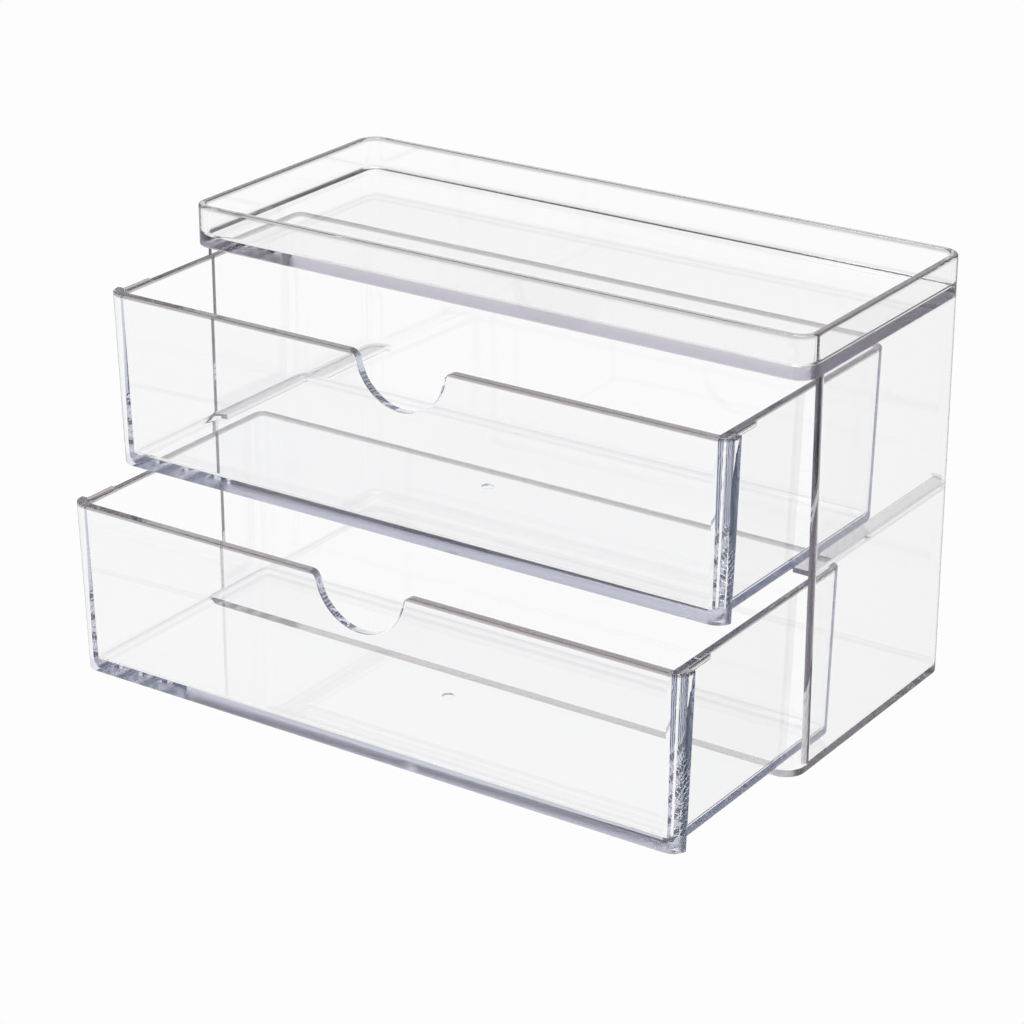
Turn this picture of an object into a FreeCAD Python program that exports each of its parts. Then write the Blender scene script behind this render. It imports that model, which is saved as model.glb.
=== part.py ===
import FreeCAD, Part
import Sketcher
import os

# Two-drawer cotton pad and swab holder in clear plastic.
# Frame: origin at the centre of the casing's base, X along the front, +Y to the back, +Z up.
# The casing is one moulding: base, two side walls, back wall, a support rail half way up each side
# wall, and a tray with a raised rim on top. Two equal drawers run in it, both partly pulled out.

os.makedirs("parts", exist_ok=True)
doc = FreeCAD.newDocument("cotton_pad_holder")

SIZES = (
    # casing
    ("casing_width", 165.0),
    ("casing_depth", 70.6),
    ("casing_height", 102.6),
    ("corner_radius", 5.0),
    ("side_wall", 1.4),
    ("wall_setback", 5.6),
    ("wall_round", 1.0),
    ("base_plate", 1.9),
    ("tray_plate", 2.4),
    ("rim_height", 7.6),
    ("rim_wall", 1.9),
    ("tray_cove", 1.2),
    ("rim_round", 0.5),
    ("plate_round", 0.5),
    # the rails' top faces stand this far above the middle of the bay
    ("rail_rise", 0.75),
    ("rail_thickness", 1.2),
    ("rail_width", 3.8),
    # drawers
    ("post_width", 4.0),
    ("post_depth", 4.4),
    ("post_radius", 4.0),
    ("front_panel", 2.2),
    ("drawer_wall", 1.5),
    ("drawer_floor", 2.5),
    ("draft_angle", 1.0),
    ("rear_radius", 2.5),
    ("rear_inner_radius", 1.5),
    ("heel_radius", 2.2),
    ("drawer_lip_round", 0.3),
    ("floor_cove", 1.0),
    ("notch_radius", 11.6),
    ("notch_lip", 2.5),
    ("bead_width", 0.8),
    ("bead_height", 1.2),
    ("bead_length", 8.5),
    ("gate_radius", 1.5),
    ("gate_depth", 0.5),
    # clearances in the casing: under and behind a drawer, over the lower one, beside its body, and
    # from the front panel to the casing's sides and front
    ("running_gap", 0.2),
    ("head_gap", 2.9),
    ("body_gap", 1.2),
    ("front_inset", 0.3),
    ("closed_inset", 0.7),
    # how far a cut runs past the face it opens, and a bead into its post
    ("overrun", 1.0),
    # how far each drawer stands out of the casing at rest, from fully closed
    ("upper_pull", 31.6),
    ("lower_pull", 47.6),
)

sheet = doc.addObject("Spreadsheet::Sheet", "Sizes")
for row, (alias, value) in enumerate(SIZES, start=1):
    sheet.set("A%d" % row, alias)
    sheet.set("B%d" % row, str(value))
    sheet.setAlias("B%d" % row, alias)
doc.recompute()


def value(formula):
    """The number that a formula of sheet values comes to."""
    return float(sheet.evalExpression(formula))


def origin_plane(body, role):
    """The body's own origin plane, found by its role."""
    return next(item for item in body.Origin.OriginFeatures if item.Role == role)


def new_body(name, label):
    body = doc.addObject("PartDesign::Body", name)
    body.Label = label
    return body


def new_sketch(body, name, role, lift):
    """A sketch on an origin plane, moved along that plane's normal by the formula lift."""
    sketch = body.newObject("Sketcher::SketchObject", name)
    sketch.AttachmentSupport = [(origin_plane(body, role), "")]
    sketch.MapMode = "FlatFace"
    sketch.setExpression("AttachmentOffset.Base.z", lift)
    return sketch


def pin(sketch, kind, geometry, point, formula):
    """Ties one coordinate of a sketch point to a formula."""
    number = sketch.addConstraint(Sketcher.Constraint(kind, -1, 1, geometry, point, value(formula)))
    sketch.setExpression("Constraints[%d]" % number, formula)


def closed_outline(sketch, corners):
    """Straight lines through the corners, each a pair of formulas for x and y."""
    count = len(corners)
    points = [FreeCAD.Vector(value(x), value(y), 0) for x, y in corners]
    for index in range(count):
        sketch.addGeometry(Part.LineSegment(points[index], points[(index + 1) % count]), False)
    for index in range(count):
        sketch.addConstraint(Sketcher.Constraint("Coincident", index, 2, (index + 1) % count, 1))
    for index, (x, y) in enumerate(corners):
        pin(sketch, "DistanceX", index, 1, x)
        pin(sketch, "DistanceY", index, 1, y)


def mirrored(corners):
    """The corners on the +X side, followed by their mirror images in reverse order."""
    return corners + [("-(%s)" % x, y) for x, y in reversed(corners)]


def rectangle(sketch, half_width, low, high):
    """A rectangle that is symmetric about the sketch's vertical axis."""
    closed_outline(sketch, mirrored([(half_width, low), (half_width, high)]))


def circle(sketch, radius, height):
    """A circle with its centre on the sketch's vertical axis."""
    centre = FreeCAD.Vector(0, value(height), 0)
    sketch.addGeometry(Part.Circle(centre, FreeCAD.Vector(0, 0, 1), value(radius)), False)
    sketch.addConstraint(Sketcher.Constraint("PointOnObject", 0, 3, -2))
    pin(sketch, "DistanceY", 0, 3, height)
    number = sketch.addConstraint(Sketcher.Constraint("Radius", 0, value(radius)))
    sketch.setExpression("Constraints[%d]" % number, radius)


def extrude(body, kind, name, sketch, length, reversed_way=False, taper=None):
    feature = body.newObject("PartDesign::" + kind, name)
    feature.Profile = sketch
    feature.setExpression("Length", length)
    feature.Reversed = reversed_way
    if taper:
        feature.setExpression("TaperAngle", taper)
    sketch.Visibility = False
    doc.recompute()
    return feature


def middle(edge):
    return edge.valueAt((edge.FirstParameter + edge.LastParameter) / 2.0)


def fillet(body, name, base, radius, wanted):
    """Rounds every edge of base whose middle point and end-to-end direction pass the test."""
    names = []
    for number, edge in enumerate(base.Shape.Edges, start=1):
        run = edge.Vertexes[-1].Point.sub(edge.Vertexes[0].Point)
        if run.Length > 0 and wanted(middle(edge), run.normalize()):
            names.append("Edge%d" % number)
    feature = body.newObject("PartDesign::Fillet", name)
    feature.Base = (base, names)
    feature.setExpression("Radius", radius)
    doc.recompute()
    return feature


def upright(run):
    return abs(run.z) > 0.9


def near(coordinate, target, slack=0.05):
    return abs(coordinate - target) < slack


# ---------------------------------------------------------------- casing
HALF_WIDTH = "Sizes.casing_width / 2"
HALF_DEPTH = "Sizes.casing_depth / 2"
TRAY_FLOOR = "Sizes.casing_height - Sizes.rim_height"
BAY_TOP = TRAY_FLOOR + " - Sizes.tray_plate"
BAY_HALF = HALF_WIDTH + " - Sizes.side_wall"
RAIL_HALF = BAY_HALF + " - Sizes.rail_width"
RAIL_TOP = "(Sizes.base_plate + %s) / 2 + Sizes.rail_rise" % BAY_TOP
RAIL_LOW = RAIL_TOP + " - Sizes.rail_thickness"
RIM_HALF_WIDTH = HALF_WIDTH + " - Sizes.rim_wall"
RIM_HALF_DEPTH = HALF_DEPTH + " - Sizes.rim_wall"


def make_casing():
    half_width = value(HALF_WIDTH)
    half_depth = value(HALF_DEPTH)
    top = value("Sizes.casing_height")
    tray_floor = value(TRAY_FLOOR)
    bay_top = value(BAY_TOP)
    bay_half = value(BAY_HALF)
    bay_back = value(HALF_DEPTH + " - Sizes.side_wall")
    wall_front = value("Sizes.wall_setback - " + HALF_DEPTH)
    rim_half_width = value(RIM_HALF_WIDTH)
    rim_half_depth = value(RIM_HALF_DEPTH)

    body = new_body("Casing", "casing")
    outline = new_sketch(body, "CasingOutline", "XY_Plane", "0 mm")
    rectangle(outline, HALF_WIDTH, "-(%s)" % HALF_DEPTH, HALF_DEPTH)
    extrude(body, "Pad", "CasingBlock", outline, "Sizes.casing_height")

    # one bay for both drawers, open to the front, with the two support rails left standing
    bay = new_sketch(body, "BayOutline", "XZ_Plane", HALF_DEPTH)
    closed_outline(bay, mirrored([
        (BAY_HALF, "Sizes.base_plate"),
        (BAY_HALF, RAIL_LOW),
        (RAIL_HALF, RAIL_LOW),
        (RAIL_HALF, RAIL_TOP),
        (BAY_HALF, RAIL_TOP),
        (BAY_HALF, BAY_TOP),
    ]))
    shell = extrude(body, "Pocket", "BayPocket", bay, "Sizes.casing_depth - Sizes.side_wall")
    shell = fillet(body, "BayRearCorners", shell, "Sizes.corner_radius - Sizes.side_wall",
                   lambda point, run: upright(run) and near(abs(point.x), bay_half)
                   and near(point.y, bay_back))

    # the side walls start behind the front edges of the base and the tray
    recess = new_sketch(body, "WallSetbackOutline", "XZ_Plane", HALF_DEPTH)
    rectangle(recess, HALF_WIDTH + " + Sizes.overrun", "Sizes.base_plate", BAY_TOP)
    shell = extrude(body, "Pocket", "WallSetback", recess, "Sizes.wall_setback")
    shell = fillet(body, "CasingCorners", shell, "Sizes.corner_radius",
                   lambda point, run: upright(run) and near(abs(point.x), half_width)
                   and near(abs(point.y), half_depth))
    shell = fillet(body, "WallFrontRound", shell, "Sizes.wall_round",
                   lambda point, run: upright(run) and near(abs(point.x), half_width)
                   and near(point.y, wall_front))

    # the tray sunk into the top, with a coved floor edge
    tray = new_sketch(body, "TrayOutline", "XY_Plane", "Sizes.casing_height")
    rectangle(tray, RIM_HALF_WIDTH, "-(%s)" % RIM_HALF_DEPTH, RIM_HALF_DEPTH)
    shell = extrude(body, "Pocket", "TrayPocket", tray, "Sizes.rim_height")
    shell = fillet(body, "TrayCorners", shell, "Sizes.corner_radius - Sizes.rim_wall",
                   lambda point, run: upright(run) and point.z > tray_floor
                   and near(abs(point.x), rim_half_width) and near(abs(point.y), rim_half_depth))
    shell = fillet(body, "TrayCove", shell, "Sizes.tray_cove",
                   lambda point, run: near(point.z, tray_floor))
    shell = fillet(body, "RimRound", shell, "Sizes.rim_round",
                   lambda point, run: near(point.z, top))
    fillet(body, "PlateRound", shell, "Sizes.plate_round",
           lambda point, run: near(point.z, 0.0)
           or (near(point.z, bay_top) and near(point.y, -half_depth)))
    return body


# ---------------------------------------------------------------- drawers
# Local frame of a drawer: middle of the front panel's lower edge, front face at y = 0.
BODY_HALF = BAY_HALF + " - Sizes.body_gap"
FRONT_HALF = HALF_WIDTH + " - Sizes.front_inset"
HOLLOW_HALF = BODY_HALF + " - Sizes.drawer_wall"
BEAD_HALF = BODY_HALF + " + Sizes.bead_width"
DRAWER_HEIGHT = "%s - Sizes.base_plate - Sizes.running_gap - Sizes.head_gap" % RAIL_LOW
DRAWER_DEPTH = "Sizes.casing_depth - Sizes.side_wall - Sizes.running_gap - Sizes.closed_inset"
HOLLOW_BACK = DRAWER_DEPTH + " - Sizes.drawer_wall"
POST_FRONT = "Sizes.front_panel / 2"
POST_TOP = DRAWER_HEIGHT + " - Sizes.drawer_lip_round"
POST_BOTTOM = "Sizes.drawer_floor / 2"
POST_INNER = FRONT_HALF + " - Sizes.post_width"
POST_FOOT = "%s - tan(Sizes.draft_angle) * (%s - %s)" % (POST_INNER, POST_TOP, POST_BOTTOM)


def make_drawer(name, label, pull, floor_level):
    drawer_top = value(DRAWER_HEIGHT)
    hollow_half = value(HOLLOW_HALF)
    hollow_back = value(HOLLOW_BACK)
    panel_back = value("Sizes.front_panel")
    drawer_floor = value("Sizes.drawer_floor")
    notch_radius = value("Sizes.notch_radius")
    half_way = value(DRAWER_DEPTH) / 2.0

    body = new_body(name, label)
    outline = new_sketch(body, name + "Outline", "XY_Plane", DRAWER_HEIGHT)
    closed_outline(outline, mirrored([
        (FRONT_HALF, "0 mm"),
        (FRONT_HALF, "Sizes.post_depth"),
        (BODY_HALF, "Sizes.post_depth"),
        (BODY_HALF, DRAWER_DEPTH),
    ]))
    tub = extrude(body, "Pad", name + "Block", outline, DRAWER_HEIGHT,
                  reversed_way=True, taper="-Sizes.draft_angle")
    tub = fillet(body, name + "Posts", tub, "Sizes.post_radius",
                 lambda point, run: upright(run) and point.y < panel_back)
    tub = fillet(body, name + "RearCorners", tub, "Sizes.rear_radius",
                 lambda point, run: upright(run) and point.y > half_way)

    # beads that centre the front between the casing walls
    beads = new_sketch(body, name + "BeadOutline", "XY_Plane", DRAWER_HEIGHT)
    rectangle(beads, BEAD_HALF, "Sizes.post_depth - Sizes.overrun", "Sizes.post_depth + Sizes.bead_length")
    tub = extrude(body, "Pad", name + "Beads", beads, "Sizes.bead_height", reversed_way=True)

    # the hollow, with a coved floor edge
    inside = new_sketch(body, name + "HollowOutline", "XY_Plane", DRAWER_HEIGHT)
    rectangle(inside, HOLLOW_HALF, "Sizes.front_panel", HOLLOW_BACK)
    tub = extrude(body, "Pocket", name + "Hollow", inside, DRAWER_HEIGHT + " - Sizes.drawer_floor",
                  taper="-Sizes.draft_angle")

    tub = fillet(body, name + "HollowRear", tub, "Sizes.rear_inner_radius",
                 lambda point, run: upright(run) and abs(point.x) <= hollow_half
                 and half_way < point.y <= hollow_back)
    tub = fillet(body, name + "FloorCove", tub, "Sizes.floor_cove",
                 lambda point, run: near(point.z, drawer_floor))

    # the finger notch in the front panel
    notch = new_sketch(body, name + "NotchOutline", "XZ_Plane", "Sizes.overrun")
    circle(notch, "Sizes.notch_radius", DRAWER_HEIGHT)
    tub = extrude(body, "Pocket", name + "Notch", notch, "Sizes.front_panel + 2 * Sizes.overrun")
    tub = fillet(body, name + "NotchLips", tub, "Sizes.notch_lip",
                 lambda point, run: abs(run.y) > 0.9 and near(point.z, drawer_top)
                 and near(abs(point.x), notch_radius))

    # the rounded lip, and the rounded heel under the back
    tub = fillet(body, name + "Lip", tub, "Sizes.drawer_lip_round",
                 lambda point, run: near(point.z, drawer_top))
    tub = fillet(body, name + "Heel", tub, "Sizes.heel_radius",
           lambda point, run: near(point.z, 0.0) and abs(run.x) > 0.9 and point.y > half_way)

    # the posts' inner sides, which lean with the draft and stop under the rounded lip
    for side, sign in (("Right", ""), ("Left", "-")):
        post = new_sketch(body, name + side + "PostOutline", "XZ_Plane", "-(%s)" % POST_FRONT)
        closed_outline(post, [("%s(%s)" % (sign, x), z) for x, z in (
            (POST_INNER, POST_TOP),
            (POST_INNER + " + Sizes.drawer_wall / 2", POST_TOP),
            (POST_FOOT + " + Sizes.drawer_wall / 2", POST_BOTTOM),
            (POST_FOOT, POST_BOTTOM),
        )])
        extrude(body, "Pad", name + side + "Post", post, "Sizes.post_depth - %s" % POST_FRONT,
                reversed_way=True)

    # the moulding gate's dimple under the middle of the floor
    gate = new_sketch(body, name + "GateOutline", "XY_Plane", "0 mm")
    circle(gate, "Sizes.gate_radius", "(%s) / 2" % DRAWER_DEPTH)
    extrude(body, "Pocket", name + "Gate", gate, "Sizes.gate_depth", reversed_way=True)

    # closed, the front panel stands just behind the front edge of the base
    body.setExpression("Placement.Base.y", "Sizes.closed_inset - %s - Sizes.%s" % (HALF_DEPTH, pull))
    body.setExpression("Placement.Base.z", floor_level)
    return body


bodies = [
    make_casing(),
    make_drawer("UpperDrawer", "upper_drawer", "upper_pull", RAIL_TOP + " + Sizes.running_gap"),
    make_drawer("LowerDrawer", "lower_drawer", "lower_pull", "Sizes.base_plate + Sizes.running_gap"),
]
doc.recompute()

for item in doc.Objects:
    if "Invalid" in item.State or "Error" in item.State:
        raise RuntimeError("%s: %s" % (item.Name, item.State))

for body in bodies:
    shape = body.Shape
    if shape.isNull() or not shape.isValid() or len(shape.Solids) != 1:
        raise RuntimeError("bad shape: " + body.Label)
    shape.exportStep("parts/%s.step" % body.Label)
    box = shape.BoundBox
    print(body.Label, "volume %.1f" % shape.Volume, "x %.2f %.2f y %.2f %.2f z %.2f %.2f" % (
        box.XMin, box.XMax, box.YMin, box.YMax, box.ZMin, box.ZMax))
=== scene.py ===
import math

import bpy
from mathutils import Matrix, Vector

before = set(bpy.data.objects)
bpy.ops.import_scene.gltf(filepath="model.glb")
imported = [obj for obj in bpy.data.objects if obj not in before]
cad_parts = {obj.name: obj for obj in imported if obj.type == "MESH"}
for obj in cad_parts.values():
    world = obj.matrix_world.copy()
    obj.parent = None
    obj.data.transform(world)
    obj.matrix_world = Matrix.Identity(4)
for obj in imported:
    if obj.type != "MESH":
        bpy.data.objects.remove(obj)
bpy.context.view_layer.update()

# Clear moulded plastic on a plain white sweep, lit for dark edges; further dark lines and tinted
# plate edges are painted shade in the plastic's base colour. Lengths are in metres and colours are
# linear. A level is a share of a piece's height, from 0 at its lowest point to 1 at its highest.

scene = bpy.context.scene

# ---------------------------------------------------------------- the plastic
CLEAR = (1, 1, 1, 1)
# painted shade: tints on the plates' upright edges, in place of the colour that refraction gives
# those edges in clear plastic
PLATE_EDGE_PAINTED_SHADE = (0.86, 0.835, 0.92, 1)
BASE_EDGE_PAINTED_SHADE = (0.92, 0.88, 0.87, 1)
# painted shade: dark lines on the rails, the tray rim and the drawer lips, in place of the dark
# lines that refraction draws there in clear polished plastic
RAIL_PAINTED_SHADE = (0.30, 0.27, 0.29, 1)
RIM_PAINTED_SHADE = (0.45, 0.42, 0.42, 1)
LIP_PAINTED_SHADE = (0.24, 0.20, 0.20, 1)
CASING_TINT = (0.57, 0.55, 0.595, 1)
DRAWER_TINT = (0.50, 0.54, 0.65, 1)
CASING_DENSITY = 13.0
DRAWER_DENSITY = 12.0

# the casing's levels
BASE_PLATE = (0.0, 0.0185)
RAIL_EDGES = (0.4561, 0.4678)       # the support rails' underside and top
TRAY_PLATE = (0.9025, 0.926)
RIM_FADE = (0.991, 0.995)           # the tray rim's rounded top
# the drawers' levels
DRAWER_FLOOR = (0.0, 0.057)
LIP_FADE = (0.979, 0.986)           # the walls' rounded top

LEVEL_FADE = 0.002                  # a painted-shade line or a plate's painted-shade edge fades out over this share
TOP_START = (0.96, 0.97)            # from here up, all of a piece takes painted shade by its level
SIDE_START = (0.460, 0.465)         # below that, only what lies this share of the width off centre
CENTRE = 0.5

IOR = 1.52
EDGE_ROUGHNESS = 0.16               # the plates' upright edges
UPRIGHT_SLOPE = (0.6, 0.3)          # a face counts as upright as its normal's Z falls over this
HAZE_NOISE = dict(Scale=38.0, Detail=3.0, Roughness=0.5)
HAZE_START = (0.58, 0.75)           # the haze sets in as the noise rises over this
HAZE_ROUGHNESS = 0.02
RIPPLE_NOISE = dict(Scale=26.0, Detail=2.0, Roughness=0.45, Distortion=0.6)
RIPPLE_HEIGHT = 0.00002

# ---------------------------------------------------------------- the stage
WHITE = 0.982                       # the sweep's near-white
MIRRORED_FLOOR = 0.45               # how bright the plastic mirrors the floor
MIRRORED_SKY = 0.75
FLOOR_SIZE = 12.0
FLOOR_DROP = 0.0002                 # the floor lies this far under the object
SKY_SIDE = (0.60, (1, 1, 1, 1))     # how far up the sky's white goes
SKY_TOP = (0.85, (0.22, 0.22, 0.25, 1))

LAMP_PLACE = (0.0, 0.25, 1.5)
LAMP_SIZE = (1.4, 1.0)
LAMP_WATTS = 28.0
LAMP_AIM = (0, 0, 0.05)

CAMERA_PLACE = (0.38333, -0.58681, 0.32745)
CAMERA_DOWN = 22.848                # in degrees, as is the turn
CAMERA_TURN = 34.225
CAMERA_SENSOR = 36.0                # in millimetres, as is the lens
CAMERA_LENS = 113.26
CAMERA_CLIP = (0.01, 50.0)
BOUNCES = 96                        # light caught in a wall comes out only after many turns


# ---------------------------------------------------------------- nodes
def node(tree, kind, **values):
    """A new node with its inputs set. An underscore stands for the space in an input's name."""
    made = tree.nodes.new(kind)
    for name, value in values.items():
        made.inputs[name.replace("_", " ")].default_value = value
    return made


def graded(tree, value, start, end, low=0.0, high=1.0):
    """Goes from low to high as the value goes from start to end."""
    made = node(tree, "ShaderNodeMapRange", From_Min=start, From_Max=end, To_Min=low, To_Max=high)
    tree.links.new(value, made.inputs["Value"])
    return made.outputs["Result"]


def combined(tree, operation, first, second=0.0):
    """What the operation makes of two values, each a number or another node's output."""
    made = tree.nodes.new("ShaderNodeMath")
    made.operation = operation
    for value, socket in zip((first, second), made.inputs):
        if isinstance(value, float):
            socket.default_value = value
        else:
            tree.links.new(value, socket)
    return made.outputs["Value"]


def blend(tree, factor, first, second):
    """A colour that goes from the first to the second as the factor goes from 0 to 1."""
    made = tree.nodes.new("ShaderNodeMix")
    made.data_type = "RGBA"
    sockets = {socket.identifier: socket for socket in [*made.inputs, *made.outputs]}
    tree.links.new(factor, sockets["Factor_Float"])
    for value, socket in ((first, sockets["A_Color"]), (second, sockets["B_Color"])):
        if isinstance(value, tuple):
            socket.default_value = value
        else:
            tree.links.new(value, socket)
    return sockets["Result_Color"]


def parted(tree, vector):
    """The X, Y and Z outputs of a vector."""
    made = tree.nodes.new("ShaderNodeSeparateXYZ")
    tree.links.new(vector, made.inputs["Vector"])
    return made.outputs


def ramped(tree, value, stops):
    """A colour ramp over the value. The stops are places and colours, lowest first."""
    made = tree.nodes.new("ShaderNodeValToRGB")
    elements = made.color_ramp.elements
    for element, (position, colour) in zip(elements, (stops[0], stops[-1])):
        element.position, element.color = position, colour
    for position, colour in stops[1:-1]:
        elements.new(position).color = colour
    tree.links.new(value, made.inputs["Fac"])
    return made.outputs["Color"]


# ---------------------------------------------------------------- materials
def line(level, colour):
    """Ramp stops for a thin line of painted shade on clear plastic."""
    return [(level - LEVEL_FADE, CLEAR), (level, colour), (level + LEVEL_FADE, CLEAR)]


def top_edge(fade, colour):
    """Ramp stops for a top edge that takes painted shade from here up."""
    return [(fade[0], CLEAR), (fade[1], colour)]


def clear_plastic(name, tint, density, shades, plates):
    """Polished clear plastic: slow ripples, patches of faint haze, and painted shade on edges by
    their level.

    Below the top edges only the side walls and what stands on them take the ramp's painted shade.
    The upright edges of the plates are a little matt and take a painted-shade tint. Each plate is
    its levels and its edge's colour.
    """
    material = bpy.data.materials.new(name)
    material.use_nodes = True
    tree = material.node_tree
    shader = tree.nodes["Principled BSDF"]
    shader.inputs["IOR"].default_value = IOR
    shader.inputs["Transmission Weight"].default_value = 1.0
    place = tree.nodes.new("ShaderNodeTexCoord")
    spot = parted(tree, place.outputs["Generated"])

    off_centre = combined(tree, "ABSOLUTE", combined(tree, "SUBTRACT", spot["X"], CENTRE))
    painted_shade_mask = combined(tree, "MAXIMUM", graded(tree, off_centre, *SIDE_START),
                      graded(tree, spot["Z"], *TOP_START))
    # painted shade: the ramp's dark lines and top edges darken the base colour on the side walls
    # and tops
    base = blend(tree, painted_shade_mask, CLEAR, ramped(tree, spot["Z"], shades))

    cloud = node(tree, "ShaderNodeTexNoise", **HAZE_NOISE)
    tree.links.new(place.outputs["Object"], cloud.inputs["Vector"])
    roughness = graded(tree, cloud.outputs["Fac"], *HAZE_START, high=HAZE_ROUGHNESS)

    normal = parted(tree, tree.nodes.new("ShaderNodeNewGeometry").outputs["Normal"])
    upright = graded(tree, combined(tree, "ABSOLUTE", normal["Z"]), *UPRIGHT_SLOPE)
    for (underside, top), colour in plates:
        within = combined(tree, "MULTIPLY",
                          graded(tree, spot["Z"], underside - LEVEL_FADE, underside),
                          graded(tree, spot["Z"], top + LEVEL_FADE, top))
        edge = combined(tree, "MULTIPLY", upright, within)
        matt = combined(tree, "MULTIPLY", edge, EDGE_ROUGHNESS)
        roughness = combined(tree, "MAXIMUM", roughness, matt)
        # painted shade: each plate's upright edge takes its tint in the base colour
        base = blend(tree, edge, base, colour)
    tree.links.new(roughness, shader.inputs["Roughness"])
    tree.links.new(base, shader.inputs["Base Color"])

    flow = node(tree, "ShaderNodeTexNoise", **RIPPLE_NOISE)
    tree.links.new(place.outputs["Object"], flow.inputs["Vector"])
    bump = node(tree, "ShaderNodeBump", Strength=1.0, Distance=RIPPLE_HEIGHT)
    tree.links.new(flow.outputs["Fac"], bump.inputs["Height"])
    tree.links.new(bump.outputs["Normal"], shader.inputs["Normal"])

    absorb = node(tree, "ShaderNodeVolumeAbsorption", Color=tint, Density=density)
    output = tree.nodes["Material Output"]
    tree.links.new(absorb.outputs["Volume"], output.inputs["Volume"])
    return material


casing_shades = [*line(RAIL_EDGES[0], RAIL_PAINTED_SHADE), *line(RAIL_EDGES[1], RAIL_PAINTED_SHADE),
                 *top_edge(RIM_FADE, RIM_PAINTED_SHADE)]
casing_plastic = clear_plastic(
    "casing_plastic", CASING_TINT, CASING_DENSITY, casing_shades,
    [(BASE_PLATE, BASE_EDGE_PAINTED_SHADE), (TRAY_PLATE, PLATE_EDGE_PAINTED_SHADE)])
drawer_plastic = clear_plastic(
    "drawer_plastic", DRAWER_TINT, DRAWER_DENSITY, top_edge(LIP_FADE, LIP_PAINTED_SHADE),
    [(DRAWER_FLOOR, PLATE_EDGE_PAINTED_SHADE)])
for name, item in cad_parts.items():
    item.data.materials.clear()
    item.data.materials.append(casing_plastic if name == "casing" else drawer_plastic)


# ---------------------------------------------------------------- floor, sky and lamp
def dimmed(tree, seen, mirrored):
    """One strength where it is seen, also through the plastic, and another where it is mirrored."""
    path = tree.nodes.new("ShaderNodeLightPath")
    return graded(tree, path.outputs["Is Reflection Ray"], 0.0, 1.0, seen, mirrored)


def glow(name, seen, mirrored):
    """An evenly lit white."""
    material = bpy.data.materials.new(name)
    material.use_nodes = True
    tree = material.node_tree
    tree.nodes.remove(tree.nodes["Principled BSDF"])
    light = tree.nodes.new("ShaderNodeEmission")
    tree.links.new(dimmed(tree, seen, mirrored), light.inputs["Strength"])
    tree.links.new(light.outputs["Emission"], tree.nodes["Material Output"].inputs["Surface"])
    return material


def placed(name, data, location):
    made = bpy.data.objects.new(name, data)
    made.location = location
    scene.collection.objects.link(made)
    return made


half = FLOOR_SIZE / 2
floor_mesh = bpy.data.meshes.new("floor")
floor_mesh.from_pydata([(-half, -half, 0), (half, -half, 0), (half, half, 0), (-half, half, 0)],
                       [], [(0, 1, 2, 3)])
floor_mesh.materials.append(glow("floor_white", WHITE, MIRRORED_FLOOR))
floor = placed("floor", floor_mesh, (0, 0, -FLOOR_DROP))

# white all round and grey overhead
world = bpy.data.worlds.new("studio")
scene.world = world
world.use_nodes = True
world.cycles.sampling_method = "NONE"
tree = world.node_tree
sky = tree.nodes["Background"]
direction = parted(tree, tree.nodes.new("ShaderNodeTexCoord").outputs["Generated"])
tree.links.new(ramped(tree, direction["Z"], [SKY_SIDE, SKY_TOP]), sky.inputs["Color"])
tree.links.new(dimmed(tree, WHITE, MIRRORED_SKY), sky.inputs["Strength"])

lamp = bpy.data.lights.new("overhead", "AREA")
lamp.shape = "RECTANGLE"
lamp.size, lamp.size_y = LAMP_SIZE
lamp.energy = LAMP_WATTS
overhead = placed("overhead", lamp, LAMP_PLACE)
overhead.rotation_mode = "QUATERNION"
overhead.rotation_quaternion = (Vector(LAMP_AIM) - Vector(LAMP_PLACE)).to_track_quat("-Z", "Y")

# ---------------------------------------------------------------- camera
camera_data = bpy.data.cameras.new("camera")
camera_data.sensor_width = CAMERA_SENSOR
camera_data.lens = CAMERA_LENS
camera_data.clip_start, camera_data.clip_end = CAMERA_CLIP
camera = placed("camera", camera_data, CAMERA_PLACE)
camera.rotation_euler = (math.radians(90.0 - CAMERA_DOWN), 0.0, math.radians(CAMERA_TURN))
scene.camera = camera

scene.view_settings.view_transform = "Standard"
scene.cycles.max_bounces = BOUNCES
scene.cycles.transmission_bounces = BOUNCES
scene.cycles.glossy_bounces = BOUNCES
scene.cycles.use_denoising = True
